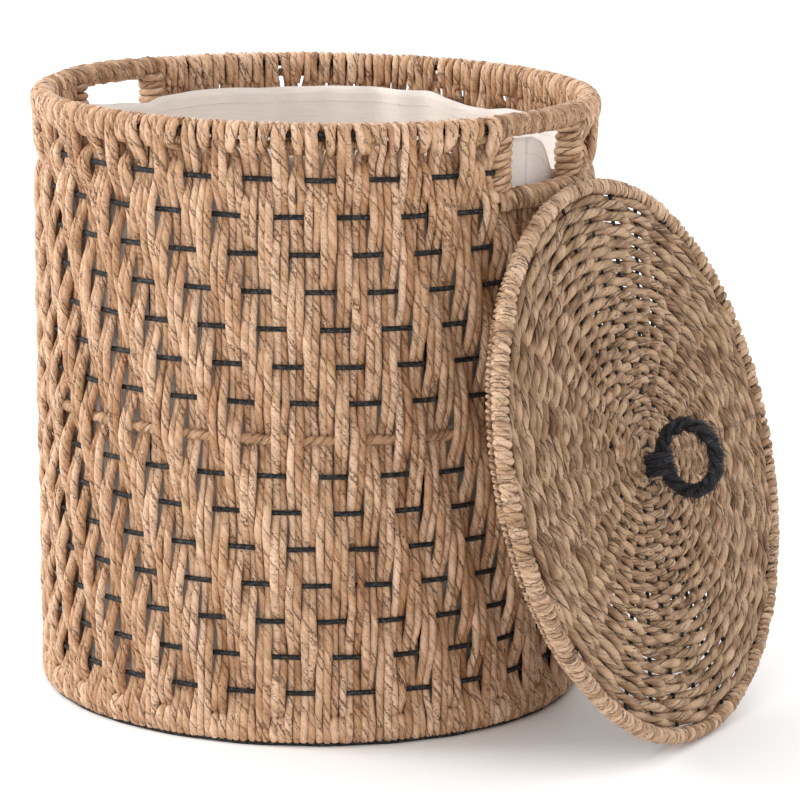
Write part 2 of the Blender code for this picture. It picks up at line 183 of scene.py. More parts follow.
def grooves(n, strand):
    """Painted shade: dark lines along the three grooves that the twist leaves, broken here and there."""
    across = n.add("ShaderNodeSeparateXYZ")
    n.join(strand, across.inputs[0])
    cosine = across.outputs["X"]
    triple = n.math("SUBTRACT", n.math("MULTIPLY", n.math("MULTIPLY", cosine, cosine), 4.0), 3.0)
    triple = n.math("MULTIPLY", triple, cosine)
    stray = n.noise(n.stretch(strand, (1.0, 1.0, 40.0)), 1.1, 1.0)
    triple = n.math("ADD", triple, n.math("MULTIPLY", n.math("SUBTRACT", stray, 0.5), 0.3))
    depth = n.math("ADD", n.math("MULTIPLY", triple, 0.5), 0.5)
    line = n.ramp(depth, ((0.0, 1.0), (0.02, 1.0), (0.06, 0.0)))
    gate = n.ramp(n.noise(n.stretch(strand, (0.4, 0.4, 30.0)), 1.2, 1.0), ((0.44, 0.0), (0.54, 1.0)))
    return n.math("MULTIPLY", line, gate)


def seagrass(name, pale, middle, brown, crease_speck_and_shade):
    """Dry twisted leaf: streaks, creases and specks that follow the twist, painted shade along the twist's
    grooves, and a tone per cord, which on the wall also carries painted shade where cords run behind or
    inside.
    """
    n = Nodes(name)
    strand = n.attribute("strand")
    tone = n.attribute("tone", "Fac")
    leaf = n.noise(n.stretch(strand, (1.0, 1.0, 45.0)), 0.9, 2.0)
    streak = n.noise(n.stretch(strand, (1.0, 1.0, 22.0)), 4.5, 3.0, 0.6)
    fold = n.noise(n.stretch(strand, (1.0, 1.0, 16.0)), 0.75, 1.0)
    speck = n.noise(n.stretch(strand, (1.0, 1.0, 260.0)), 2.2, 2.0, 0.6)
    mixed = n.math("ADD", n.math("MULTIPLY", leaf, 0.72), n.math("MULTIPLY", streak, 0.50))
    mixed = n.math("ADD", mixed, n.math("SUBTRACT", tone, 0.575))
    bright = tuple(min(1.0, 1.18 * value) for value in pale[:3]) + (1.0,)
    colour = n.ramp(mixed, ((0.12, brown), (0.42, middle), (0.72, pale), (0.98, bright)))
    hue = n.noise(n.stretch(strand, (0.5, 0.5, 14.0)), 1.0, 1.0)
    colour = n.mix(n.ramp(hue, ((0.52, 0.0), (0.74, 0.24))), colour, srgb(196, 152, 128))
    colour = n.mix(n.ramp(hue, ((0.26, 0.30), (0.46, 0.0))), colour, srgb(188, 156, 106))
    # Dark lines: the leaf's own fold creases, and painted shade in the twist's grooves; the specks below
    # are the leaf's own dark marks.
    crease_and_groove_shade = n.ramp(fold, ((0.484, 0.0), (0.497, 1.0), (0.503, 1.0), (0.516, 0.0)))
    crease_and_groove_shade = n.math("MAXIMUM", crease_and_groove_shade, grooves(n, strand))
    colour = n.mix(n.math("MULTIPLY", crease_and_groove_shade, 0.8), colour, crease_speck_and_shade)
    specked = n.ramp(speck, ((0.61, 0.0), (0.69, 1.0)))
    colour = n.mix(n.math("MULTIPLY", specked, 0.55), colour, crease_speck_and_shade)
    n.join(colour, n.shader.inputs["Base Color"])
    n.join(n.math("ADD", n.math("MULTIPLY", streak, 0.35), 0.38), n.shader.inputs["Roughness"])
    n.shader.inputs["Specular IOR Level"].default_value = 0.35
    height = n.math("SUBTRACT", n.math("MULTIPLY", streak, 0.6), n.math("MULTIPLY", crease_and_groove_shade, 0.9))
    n.bump(height, 0.0009)
    return n.material


def black_wire():
    """Black coated wire with fine lines along it and a satin gloss."""
    n = Nodes("black_wire")
    place = n.add("ShaderNodeTexCoord").outputs["Object"]
    grain = n.noise(n.stretch(place, (60.0, 60.0, 2200.0)), 1.0, 2.0)
    worn = n.noise(place, 420.0, 3.0, 0.6)
    colour = n.ramp(worn, ((0.38, srgb(10, 10, 11)), (0.5, srgb(27, 27, 28)), (0.64, srgb(72, 71, 70))))
    n.join(colour, n.shader.inputs["Base Color"])
    n.join(n.math("ADD", n.math("MULTIPLY", grain, 0.3), 0.45), n.shader.inputs["Roughness"])
    n.shader.inputs["Specular IOR Level"].default_value = 0.25
    n.bump(grain, 0.0004, 0.7)
    return n.material


def black_rope():
    """Black dyed rope: fibres that follow the twist, with pale grey flecks along them as painted
    highlights.
    """
    n = Nodes("black_rope")
    strand = n.attribute("strand")
    fibre = n.noise(n.stretch(strand, (1.0, 1.0, 70.0)), 2.4, 3.0, 0.65)
    # Painted highlight: the palest fibre colour stands for glints of light on the fibres.
    colour = n.ramp(fibre, ((0.40, srgb(2, 2, 3)), (0.5, srgb(14, 14, 15)), (0.62, srgb(98, 96, 102))))
    n.join(colour, n.shader.inputs["Base Color"])
    n.join(n.math("ADD", n.math("MULTIPLY", fibre, 0.3), 0.32), n.shader.inputs["Roughness"])
    n.shader.inputs["Specular IOR Level"].default_value = 0.5
    n.bump(fibre, 0.002)
    return n.material


def cotton():
    """Thin ivory cotton in a fine plain weave, with slubs and a soft sheen."""
    n = Nodes("liner_cotton")
    place = n.attribute("cloth")
    warp = n.add("ShaderNodeTexWave", bands_direction="X")
    weft = n.add("ShaderNodeTexWave", bands_direction="Y")
    for wave in (warp, weft):
        wave.inputs["Scale"].default_value = 260.0
        wave.inputs["Distortion"].default_value = 1.2
        wave.inputs["Detail"].default_value = 2.0
        n.join(place, wave.inputs["Vector"])
    weave = n.math("MULTIPLY", warp.outputs["Fac"], weft.outputs["Fac"])
    slub = n.noise(n.stretch(place, (45.0, 420.0, 1.0)), 1.0, 3.0)
    cloud = n.noise(place, 9.0, 3.0)
    shade = n.math("ADD", n.math("MULTIPLY", slub, 0.35), n.math("MULTIPLY", cloud, 0.65))
    colour = n.ramp(shade, ((0.3, srgb(222, 212, 203)), (0.7, srgb(240, 231, 223))))
    n.join(colour, n.shader.inputs["Base Color"])
    n.shader.inputs["Roughness"].default_value = 0.9
    n.shader.inputs["Sheen Weight"].default_value = 0.25
    n.shader.inputs["Subsurface Weight"].default_value = 0.08
    n.shader.inputs["Subsurface Radius"].default_value = (0.004, 0.003, 0.002)
    n.bump(n.math("ADD", n.math("MULTIPLY", weave, 0.5), n.math("MULTIPLY", slub, 0.35)), 0.0003)
    return n.material


# Cords


class Strands:
    """Gathers cords as swept tubes and makes one mesh that keeps where each point is on its cord."""

    def __init__(self):
        self.points, self.strand, self.tone, self.quads, self.caps = [], [], [], [], []
        self.count = 0

    def add(self, path, across, radius, sides=10, closed=False, tone=0.5, pitch=0.030, lobe=0.07, lobes=3):
        """Sweep cords whose centre lines have as many points: path and across are (cord, point, xyz).

        across is a direction that stays off the cord's own. radius and tone are one number per cord and
        point. pitch is the length of one turn of the twist, and lobe the depth of its grooves, as a share
        of the radius.
        """
        path = np.asarray(path, float)
        cords, steps = path.shape[:2]
        radius = np.broadcast_to(np.asarray(radius, float), (cords, steps))
        tone = np.broadcast_to(np.asarray(tone, float), (cords, steps))
        pitch = np.broadcast_to(np.asarray(pitch, float).reshape(-1, 1), (cords, 1))
        if closed:
            along = np.roll(path, -1, axis=1) - np.roll(path, 1, axis=1)
        else:
            along = np.gradient(path, axis=1)
        along /= np.linalg.norm(along, axis=2, keepdims=True) + 1e-12
        first = across - (across * along).sum(2, keepdims=True) * along
        first /= np.linalg.norm(first, axis=2, keepdims=True) + 1e-12
        second = np.cross(along, first)
        length = np.zeros((cords, steps))
        length[:, 1:] = np.cumsum(np.linalg.norm(np.diff(path, axis=1), axis=2), axis=1)
        start = rng.uniform(0, 40, (cords, 1))
        around = 2 * np.pi * np.arange(sides) / sides
        twist = around[None, None, :] + (2 * np.pi * length / pitch + start)[..., None]
        reach = radius[..., None] * (1 + lobe * np.cos(lobes * twist))
        ray = np.cos(around)[:, None] * first[:, :, None] + np.sin(around)[:, None] * second[:, :, None]
        verts = path[:, :, None] + reach[..., None] * ray
        place = np.broadcast_to((length + start)[..., None], twist.shape)
        strand = np.stack([np.cos(twist), np.sin(twist), place], -1)
        grid = self.count + np.arange(cords * steps * sides).reshape(cords, steps, sides)
        near, far = (grid, np.roll(grid, -1, axis=1)) if closed else (grid[:, :-1], grid[:, 1:])
        quads = np.stack([near, np.roll(near, -1, axis=2), np.roll(far, -1, axis=2), far], -1)
        self.quads.append(quads.reshape(-1, 4))
        if not closed:
            self.caps.append((grid[:, 0, ::-1].reshape(-1, sides), grid[:, -1].reshape(-1, sides)))
        self.points.append(verts.reshape(-1, 3))
        self.strand.append(strand.reshape(-1, 3))
        self.tone.append(np.broadcast_to(tone[..., None], twist.shape).reshape(-1))
        self.count += cords * steps * sides

    def build(self, name, material, slot, body, *nodes, axes=None):
        """Make the piece, which rides on a body and stands for CAD nodes."""
        loops = [quads.reshape(-1) for quads in self.quads]
        sizes = [np.full(len(quads), 4) for quads in self.quads]
        for pair in self.caps:
            for cap in pair:
                loops.append(cap.reshape(-1))
                sizes.append(np.full(len(cap), cap.shape[1]))
        loops, sizes = np.concatenate(loops), np.concatenate(sizes)
        mesh = bpy.data.meshes.new(name)
        mesh.vertices.add(self.count)
        mesh.vertices.foreach_set("co", np.concatenate(self.points).astype(np.float32).reshape(-1))
        mesh.loops.add(len(loops))
        mesh.loops.foreach_set("vertex_index", loops.astype(np.int32))
        mesh.polygons.add(len(sizes))
        first = np.concatenate([[0], np.cumsum(sizes)[:-1]])
        mesh.polygons.foreach_set("loop_start", first.astype(np.int32))
        mesh.update(calc_edges=True)
        strand = mesh.attributes.new("strand", "FLOAT_VECTOR", "POINT")
        strand.data.foreach_set("vector", np.concatenate(self.strand).astype(np.float32).reshape(-1))
        tone = mesh.attributes.new("tone", "FLOAT", "POINT")
        tone.data.foreach_set("value", np.concatenate(self.tone).astype(np.float32))
        mesh.validate()
        mesh.shade_smooth()
        mesh.materials.append(material)
        return place_piece(name, mesh, slot, body, *nodes, axes=axes)


def place_piece(name, mesh, slot, body, *nodes, axes=None):
    piece = bpy.data.objects.new(name, mesh)
    if axes is not None:
        piece.matrix_world = axes
    bpy.context.scene.collection.objects.link(piece)
    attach(piece, body)
    if nodes:
        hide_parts(*nodes)
    return piece


def smooth(columns, spacing):
    """Catmull-Rom through rows of values (cord, control, value), one step per spacing of the first two."""
    path = columns[0]
    counts = np.maximum(1, np.round(np.hypot(*np.diff(path[:, :2], axis=0).T) / spacing)).astype(int)
    padded = np.concatenate([columns[:, :1], columns, columns[:, -1:]], axis=1)
    pieces = []
    for i, count in enumerate(counts):
        a, b, c, d = (padded[:, i + k, None] for k in range(4))
        t = (np.arange(count) / count)[None, :, None]
        pieces.append(0.5 * (2 * b + (c - a) * t + (2 * a - 5 * b + 4 * c - d) * t**2
                             + (3 * b - a - 3 * c + d) * t**3))
    pieces.append(columns[:, -1:])
    return np.concatenate(pieces, axis=1)


def around_axis(radius, angle, z):
    """Points at a radius, angle and height, and the level direction round the axis there."""
    path = np.stack([radius * np.cos(angle), radius * np.sin(angle), z], -1)
    across = np.stack([-np.sin(angle), np.cos(angle), np.zeros_like(angle)], -1)
    return path, across


def wander(cords, steps, size, knots):
    """A slow random wave along each of several cords."""
    marks = rng.normal(0, size, (cords, knots))
    place = np.linspace(0, knots - 1, steps)
    low = np.minimum(place.astype(int), knots - 2)
    share = place - low
    share = share * share * (3 - 2 * share)
    return marks[:, low] * (1 - share) + marks[:, low + 1] * share


def ring_spine(radius, z, start=0.0, end=2 * math.pi):
    """The centre line of something wrapped along a level ring: points, outward and upward directions."""

    def spine(share):
        angle = start + (end - start) * share
        out = np.stack([np.cos(angle), np.sin(angle), np.zeros_like(angle)], -1)
        up = np.broadcast_to(UP, out.shape)
        return out * radius + up * z, out, up

    return spine


def straight_spine(first, last, wide, tall):
    """A straight centre line, with the two directions across it."""

    def spine(share):
        points = np.array(first) + (np.array(last) - np.array(first)) * share[:, None]
        return points, np.broadcast_to(wide, points.shape), np.broadcast_to(tall, points.shape)

    return spine


def wind(strands, spine, wide, tall, turns, radius, slant=0.0, sharp=2.0, per_turn=12, sides=8, tone=0.5,
         loose=0.04, closed=False, pitch=0.034):
    """Wind a cord round a centre line, turn by turn. sharp above 2 squares the loops off."""
    t = np.arange(turns * per_turn + (0 if closed else 1)) / per_turn
    wave, lift = np.cos(2 * np.pi * t), np.sin(2 * np.pi * t)
    wave, lift = (np.sign(x) * np.abs(x) ** (2 / sharp) for x in (wave, lift))
    steps = len(t)
    stray = wander(3, steps, loose, max(turns, 3))
    points, out, up = spine((t + slant * lift + stray[0] * 2) / turns)
    path = points + (wide * (1 + stray[1]) * wave)[:, None] * out
    path = path + (tall * (1 + stray[2]) * lift)[:, None] * up
    nearby = spine((t + 0.01) / turns)[0] - spine((t - 0.01) / turns)[0]
    turn_tone = np.repeat(rng.normal(tone, 0.10, turns + 1), per_turn)[:steps]
    size = radius * (1 + wander(1, steps, 0.09, turns + 2))
    strands.add(path[None], nearby[None], size, sides, closed, turn_tone[None], pitch)


# The wall


def hoop_side(angle, row):
    """+1 where a cord at an angle runs in front of a hoop, -1 where it runs behind it."""
    middle = FIRST_DASH + (row - 3) * PERIOD / 4
    if row == 1:
        middle = FIRST_DASH - PERIOD / 4 + PERIOD / 2
    share = (angle - middle) / PERIOD
    share -= np.round(share)
    return np.where(np.abs(share) < 0.25, -1.0, 1.0)


def from_ring(offset, z, thick=1.0, lean=0.0):
    """A point of a cord's path, by its distance outwards from the hoops' centre line, its thickness and its
    lean; the thickness also paints the cord darker as shade where it is thinner, behind a hoop or inside,
    and lighter where it is thicker.
    """
    return [ring_radius(z) + offset, z, thick, lean]


def rim_start(tucked):
    """The way over the top ring, from inside: a long cord runs on down outside, a short one tucks in."""
    arc = []
    for a in map(math.radians, (170, 130, 90, 50, 10)):
        out, rise = 0.0062 * math.cos(a), 0.0062 * math.sin(a)
        arc.append(from_ring(out, TOP_RING_Z + rise, 1.0, 0.6 * math.cos(a)))
    if tucked:
        return [from_ring(-0.0074, 0.4570, 0.75, -0.8), from_ring(-0.0068, 0.4640, 0.85, -0.7)] + arc + [
            from_ring(0.0063, 0.4715, 1.05, 0.7), from_ring(0.0056, 0.4652, 1.05, 1.1),
            from_ring(0.0030, 0.4614, 0.95, 1.3), from_ring(-0.0012, 0.4602, 0.85, 1.0),
            from_ring(-0.0043, 0.4580, 0.82, 0.8), from_ring(-0.0045, 0.4510, 0.88, 0.5),
        ]
    return [from_ring(-0.0046, 0.4430, 0.8), from_ring(-0.0050, 0.4560, 0.88),
            from_ring(-0.0057, 0.4660, 0.95, -0.4)] + arc + [from_ring(0.0057, 0.4652, 1.0, 0.4)]


def base_end(tucked):
    """The way past the lower collar: on round the bottom, or in behind the short wraps."""
    if tucked:
        return [from_ring(0.0012, 0.0270), from_ring(-0.0042, 0.0180, 0.8), from_ring(-0.0044, 0.0100, 0.8)]
    return [from_ring(0.0043, 0.0180), from_ring(0.0045, 0.0095), from_ring(0.0036, 0.0054),
            from_ring(0.0002, 0.0044), from_ring(-0.0032, 0.0062, 0.9), from_ring(-0.0042, 0.0110, 0.85),
            from_ring(-0.0042, 0.0200, 0.8)]


SHORT_WRAP = [from_ring(-0.0042, 0.0180, 0.8), from_ring(-0.0040, 0.0095), from_ring(-0.0030, 0.0062),
              from_ring(0.0, 0.0048), from_ring(0.0035, 0.0058), from_ring(0.0048, 0.0095),
              from_ring(0.0049, 0.0150), from_ring(0.0034, 0.0192), from_ring(-0.0018, 0.0216, 0.8)]


def wall_cord_paths(angle, start, end, first_row):
    """Centre lines of cords that share a start and an end and weave past the hoops between."""
    columns = [np.broadcast_to(start, (len(angle), len(start), 4))]
    for row in range(first_row, HOOPS + 1):
        side = hoop_side(angle, row)
        reach = OVER * (1.28 if row == 8 else 1.0)
        radius = ring_radius(ROW_Z[row]) + side * (reach + rng.normal(0, 0.0002, len(angle)))
        height = ROW_Z[row] + rng.normal(0, 0.0005, len(angle))
        # Behind a hoop a cord is a little thinner, and through its tone painted a little darker as shade.
        columns.append(np.stack([radius, height, np.where(side > 0, 1.0, 0.97), 0 * radius], -1)[:, None])
    columns.append(np.broadcast_to(end, (len(angle), len(end), 4)))
    return smooth(np.concatenate(columns, axis=1), 0.0042)


def add_wall_cords(strands, angle, values, lean=0.0):
    """Give the cords their width, wobble and colour, and sweep them."""
    cords, steps = values.shape[:2]
    drift = angle[:, None] + wander(cords, steps, 0.0021, 30) + wander(cords, steps, 0.0014, 9)
    drift = drift + np.broadcast_to(lean, (cords,))[:, None] * values[..., 3]
    path, across = around_axis(values[..., 0], drift, values[..., 1])
    width = np.clip(rng.normal(1.0, 0.05, (cords, 1)), 0.93, 1.12)
    fat = rng.random((cords, 1)) < 0.05
    width = width * np.where(fat, 1.16, 1.0)
    width = width * (1 + wander(cords, steps, 0.055, 26))
    tone = rng.normal(0.5, 0.075, (cords, 1)) + wander(cords, steps, 0.07, 16) + 0.12 * fat
    # Painted shade: where a cord runs thinner, behind a hoop or inside the wall, its tone is darker, and
    # where it is thicker, lighter.
    tone = tone + (values[..., 2] - 1) * 0.5
    pitch = rng.uniform(0.019, 0.034, cords)
    strands.add(path, across, CORD * width * values[..., 2], 10, tone=tone, pitch=pitch)


def make_wall(material):
    """The wall's cords, in four pieces, with the short wraps at the bottom."""
    index = np.arange(CORDS)
    angle = FIRST_DASH + (index + 0.5) * PERIOD / 8
    from_hole = np.abs((angle + math.pi / 2) % math.pi - math.pi / 2)
    below_hole = from_hole < POST
    short = (index // 2) % 2 == 1
    tucked = (index // 2) % 4 == 2
    together = np.repeat(rng.uniform(0.0, 0.5, CORDS // 2), 2) * np.where(index % 2 == 0, 1, -1)
    lean = PERIOD / 8 * (together + np.repeat(rng.normal(0, 0.45, CORDS // 2), 2))
    nodes = ("side_weave", "rim_wrap", "base_wrap", None)
    for quarter, letter in enumerate("abcd"):
        strands = Strands()
        mine = index * 4 // CORDS == quarter
        for is_tucked in (False, True):
            end = base_end(is_tucked)
            groups = [(below_hole, [from_ring(-0.0030, 0.4150, 0.8), from_ring(-0.0042, 0.4070, 0.85)], 3)]
            for is_short in (False, True):
                groups.append((~below_hole & (short == is_short), rim_start(is_short), 1))
            for group, start, first_row in groups:
                chosen = mine & group & (tucked == is_tucked)
                if chosen.any():
                    paths = wall_cord_paths(angle[chosen], start, end, first_row)
                    add_wall_cords(strands, angle[chosen], paths, lean[chosen])
        chosen = mine & tucked
        wraps = np.broadcast_to(SHORT_WRAP, (int(chosen.sum()), len(SHORT_WRAP), 4))
        add_wall_cords(strands, angle[chosen], smooth(wraps * [1, 1, 1.12, 1], 0.0030))
        names = [nodes[quarter]] if nodes[quarter] else []
        strands.build(f"wall_cords_{letter}", material, "seagrass_weave", "basket", *names)


def make_wires(material):
    """The black wires in the wall: rings, hoops, uprights and the hand holes' wires."""
    strands, nodes = Strands(), []

    def ring(name, radius, z, wire, start=0.0, end=2 * math.pi):
        steps = max(8, int(144 * (end - start) / (2 * math.pi)))
        whole = end - start > 6.28
        turns = np.arange(steps) / (steps if whole else steps - 1)
        angle = start + (end - start) * turns
        bow = sum(rng.normal(0, 0.0001) * np.cos(m * angle + rng.uniform(0, 6.28)) for m in range(5, 30, 3))
        path, _ = around_axis(radius + bow, angle, z + np.roll(bow, steps // 3))
        across = np.broadcast_to(UP, path.shape)
        strands.add(path[None], across[None], wire, 10, whole, pitch=UNTWISTED, lobe=0.0)
        nodes.append(name)

    ring("top_ring", ring_radius(TOP_RING_Z), TOP_RING_Z, 0.0025)
    for middle in (math.pi / 2, -math.pi / 2):
        half = math.pi / 2 - HOLE
        ring("upper_collar_ring", ring_radius(ROW_Z[0]), ROW_Z[0], WIRE, middle - half, middle + half)
    ring("lower_collar_ring", ring_radius(ROW_Z[-1]), ROW_Z[-1], WIRE)
    ring("base_ring", RING_HIGH.x - BASE_RING_HALF, BASE_RING_HALF, BASE_RING_HALF)
    for row in range(2, HOOPS + 1):
        ring(f"hoop_{row:02d}", ring_radius(ROW_Z[row]), ROW_Z[row], WIRE)
    for name, middle in (("hoop_01_back", math.pi / 2), ("hoop_01_front", -math.pi / 2)):
        half = math.pi / 2 - POST + 0.01
        ring(name, ring_radius(ROW_Z[1]), ROW_Z[1], WIRE, middle - half, middle + half)
    for number in range(1, 7):
        low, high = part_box(f"upright_{number}")
        middle = (low + high) / 2
        angle = math.atan2(middle.y, middle.x)
        z = np.linspace(low.z, high.z, 24)
        radius = math.hypot(middle.x, middle.y) + wall_radius(z) - wall_radius(middle.z)
        path, across = around_axis(radius, np.full_like(z, angle), z)
        strands.add(path[None], across[None], 0.0015, 8, pitch=UNTWISTED, lobe=0.0)
        nodes.append(f"upright_{number}")
    for name, facing in (("right_hole_wire", 0.0), ("left_hole_wire", math.pi)):
        side = (HOLE + POST) / 2
        angle = facing + np.array([-side, -side, *np.linspace(-side + 0.02, side - 0.02, 7), side, side])
        bend = HOLE_WIRE_Z + 0.004
        z = np.array([POST_TOP, bend, *[HOLE_WIRE_Z] * 7, bend, POST_TOP])
        path, across = around_axis(ring_radius(z), angle, z)
        out = np.stack([np.cos(angle), np.sin(angle), np.zeros_like(angle)], -1)
        strands.add(path[None], out[None], WIRE, 8, pitch=UNTWISTED, lobe=0.0)
        nodes.append(name)
    strands.build("wall_wires", material, "black_wire", "basket", *sorted(set(nodes)))


def make_hand_holes(material):
    """The bound edges of the hand holes: the bar along the top, the two posts and the sill."""
    for side, facing in (("right", 0.0), ("left", math.pi)):
        bar, z = Strands(), BAR_Z
        spine = ring_spine(ring_radius(z), z, facing - POST, facing + POST)
        wind(bar, spine, 0.0058, 0.0064, 26, 0.0027, 0.6, 2.4, 16, tone=0.42, loose=0.07, pitch=0.018)
        bar.build(f"{side}_hole_bar", material, "seagrass_wrap", "basket")
        for name, angle in (("front_post", -(HOLE + POST) / 2), ("back_post", (HOLE + POST) / 2)):
            turn = facing + angle
            out, aside = (math.cos(turn), math.sin(turn), 0.0), (-math.sin(turn), math.cos(turn), 0.0)
            ends = [np.array(out) * (ring_radius(z) - 0.0035) + np.array(UP) * z
                    for z in (POST_LOW, POST_HIGH)]
            post = Strands()
            spine = straight_spine(*ends, out, aside)
            wind(post, spine, 0.0083, 0.0062, 8, 0.0032, 0.12, 2.6, 14, tone=0.47)
            node = f"{side}_hole_{name}"
            post.build(f"{node}_wrap", material, "seagrass_wrap", "basket", node)
        sill, z = Strands(), SILL_Z
        spine = ring_spine(ring_radius(z), z, facing - POST, facing + POST)
        wind(sill, spine, 0.0050, 0.0066, 20, 0.0030, -0.5, 2.6, 16, tone=0.5)
        node = f"{side}_hole_sill"
        sill.build(f"{node}_wrap", material, "seagrass_wrap", "basket", node)


def make_wrapped_hoop(material):
    """The eighth hoop's natural binding."""
    strands, z = Strands(), ROW_Z[8]
    wind(strands, ring_spine(ring_radius(z), z), 0.0016, 0.0016, 190, 0.0029, 0.5, per_turn=12, closed=True,
         tone=0.36, pitch=0.05)
    strands.build("hoop_08_binding", material, "seagrass_wrap", "basket", "hoop_08_wrap")
    strands, z = Strands(), ROW_Z[0]
    for start in (HOLE, HOLE + math.pi):
        spine = ring_spine(ring_radius(z), z, start, start + math.pi - 2 * HOLE)
        wind(strands, spine, 0.0022, 0.0022, 200, 0.0016, per_turn=8, sides=5, tone=0.4, loose=0.02)
    strands.build("upper_collar_binding", material, "seagrass_wrap", "basket")


# Woven discs


def add_woven_rings(strands, first, pitch, count, cord, reach, spokes, z=0.0, tone=0.5, lobe=0.06):
    """Rings of cord that pass in front of and behind radial wires by turns."""
    for k in range(count):
        radius = first + k * pitch
        waves = spokes // 2 if radius > 0.055 else (spokes // 4 if radius > 0.022 else spokes // 8)
        steps = max(20, int(2 * math.pi * radius / 0.0035))
        angle = 2 * math.pi * np.arange(steps) / steps
        sway = sum(rng.normal(0, 0.00030) * np.cos(m * angle + rng.uniform(0, 6.28)) for m in range(1, 9))
        wave = np.cos(waves * angle + math.pi * (k % 2))
        height = z + reach * min(1.0, 0.6 + 0.4 * radius / 0.06) * np.sign(wave) * np.abs(wave) ** 0.9
        path, _ = around_axis(radius + sway, angle, height)
        across = np.broadcast_to(UP, path.shape)
        marks = sum(rng.normal(0, 0.05) * np.cos(m * angle + rng.uniform(0, 6.28)) for m in range(3, 60, 5))
        shade = rng.normal(tone, 0.09) + marks
        turns = max(1, round(2 * math.pi * radius / 0.045))
        size = cord * (1 + 0.5 * marks) * rng.uniform(0.95, 1.06) * (1 + 0.06 * wave)
        pitch_along = 2 * math.pi * radius / turns
        strands.add(path[None], across[None], size, 8, True, shade[None], pitch_along, lobe)


def add_spokes(strands, count, near, far, wire, z=0.0):
    """Radial wires."""
    angle = 2 * np.pi * np.arange(count) / count
    reach = np.linspace(near, far, 12)
    out = np.stack([np.cos(angle), np.sin(angle), np.zeros(count)], -1)
    path = out[:, None] * reach[None, :, None] + np.array([0.0, 0.0, z])
    across = np.broadcast_to(UP, path.shape)
    strands.add(path, across, wire, 8, pitch=UNTWISTED, lobe=0.0)


def make_floor_weave(material, wire_material):
    low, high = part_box("floor_weave")
    z = (low.z + high.z) / 2
    strands = Strands()
    add_woven_rings(strands, 0.009, 0.0068, 29, 0.0033, 0.0018, 16, z)
    strands.build("floor_rings", material, "seagrass_weave", "basket", "floor_weave")
    strands = Strands()
    add_spokes(strands, 16, 0.012, high.x - 0.001, 0.00125, z)
    strands.build("floor_wires", wire_material, "black_wire", "basket", "floor_spokes")


# The lid, in its own axes: X level, Y up the face, Z out of the face


def lid_axes():
    up_face = Vector(next(j for j in frame["joints"] if j["name"] == "rope_ring_flop")["axis"]).normalized()
    level = up_face.cross(Vector((0.0, 0.0, 1.0))).normalized()
    normal = level.cross(up_face)
    low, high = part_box("lid_border_wrap")
    return Matrix.Translation((low + high) / 2) @ Matrix((level, up_face, normal)).transposed().to_4x4()


def make_lid(axes, material, wrap_material, wire_material):
    strands = Strands()
    add_woven_rings(strands, 0.0028, 0.00504, 41, 0.0033, 0.0030, 32)
    strands.build("lid_rings", material, "lid_seagrass", "lid", "lid_weave", axes=axes)
    strands = Strands()
    add_spokes(strands, 32, 0.004, LID_RADIUS - 0.0105, 0.0017)
    angle = 2 * np.pi * np.arange(160) / 160
    path, _ = around_axis(np.full(160, LID_RADIUS - 0.0098), angle, np.zeros(160))
    across = np.broadcast_to(UP, path.shape)
    strands.add(path[None], across[None], WIRE, 8, True, pitch=UNTWISTED, lobe=0.0)
    nodes = ("lid_spokes", "lid_border_wire")
    strands.build("lid_wires", wire_material, "black_wire", "lid", *nodes, axes=axes)
    strands = Strands()
    wind(strands, ring_spine(LID_RADIUS - 0.0062, 0.0), 0.0034, 0.0042, 205, 0.0031, 0.5, 2.3, per_turn=14,
         closed=True, tone=0.55, loose=0.07, pitch=0.022)
    strands.build("lid_border", wrap_material, "lid_wrap", "lid", "lid_border_wrap", axes=axes)
    strands = Strands()
    spine = ring_spine(LID_RADIUS - 0.017, -0.0155)
    wind(strands, spine, 0.0015, 0.0015, 250, 0.0018, per_turn=9, sides=6, closed=True)
    strands.build("lid_locating_cord", wrap_material, "lid_wrap", "lid", "lid_locating_ring", axes=axes)
    strands = Strands()
    for number in range(6):
        middle = math.radians(60 * number)
        spine = ring_spine(LID_RADIUS - 0.0185, -0.0108, middle - 0.027, middle + 0.027)
        wind(strands, spine, 0.0042, 0.0078, 4, 0.0016, 0.0, 2.2, 14, tone=0.5)
    ties = [f"locating_tie_{number}" for number in range(1, 7)]
    strands.build("lid_ties", wrap_material, "lid_wrap", "lid", *ties, axes=axes)


def add_hairs(strands, root, away, fall, longest):
    """Thin curved fibres that stand off from some points and droop."""
    hairs = len(root)
    away = away + rng.normal(0, 0.4, (hairs, 3))
    share = np.linspace(0, 1, 6)[None, :, None]
    droop = rng.uniform(0.2, 0.8, (hairs, 1)) * np.array([fall])
    path = root[:, None] + rng.uniform(0.3, 1.0, (hairs, 1, 1)) * longest * (
        away[:, None] * share + droop[:, None] * share**2)
    across = np.broadcast_to(rng.normal(0, 1, (hairs, 1, 3)), path.shape)
    strands.add(path, across, 0.00021, 4, lobe=0.0)


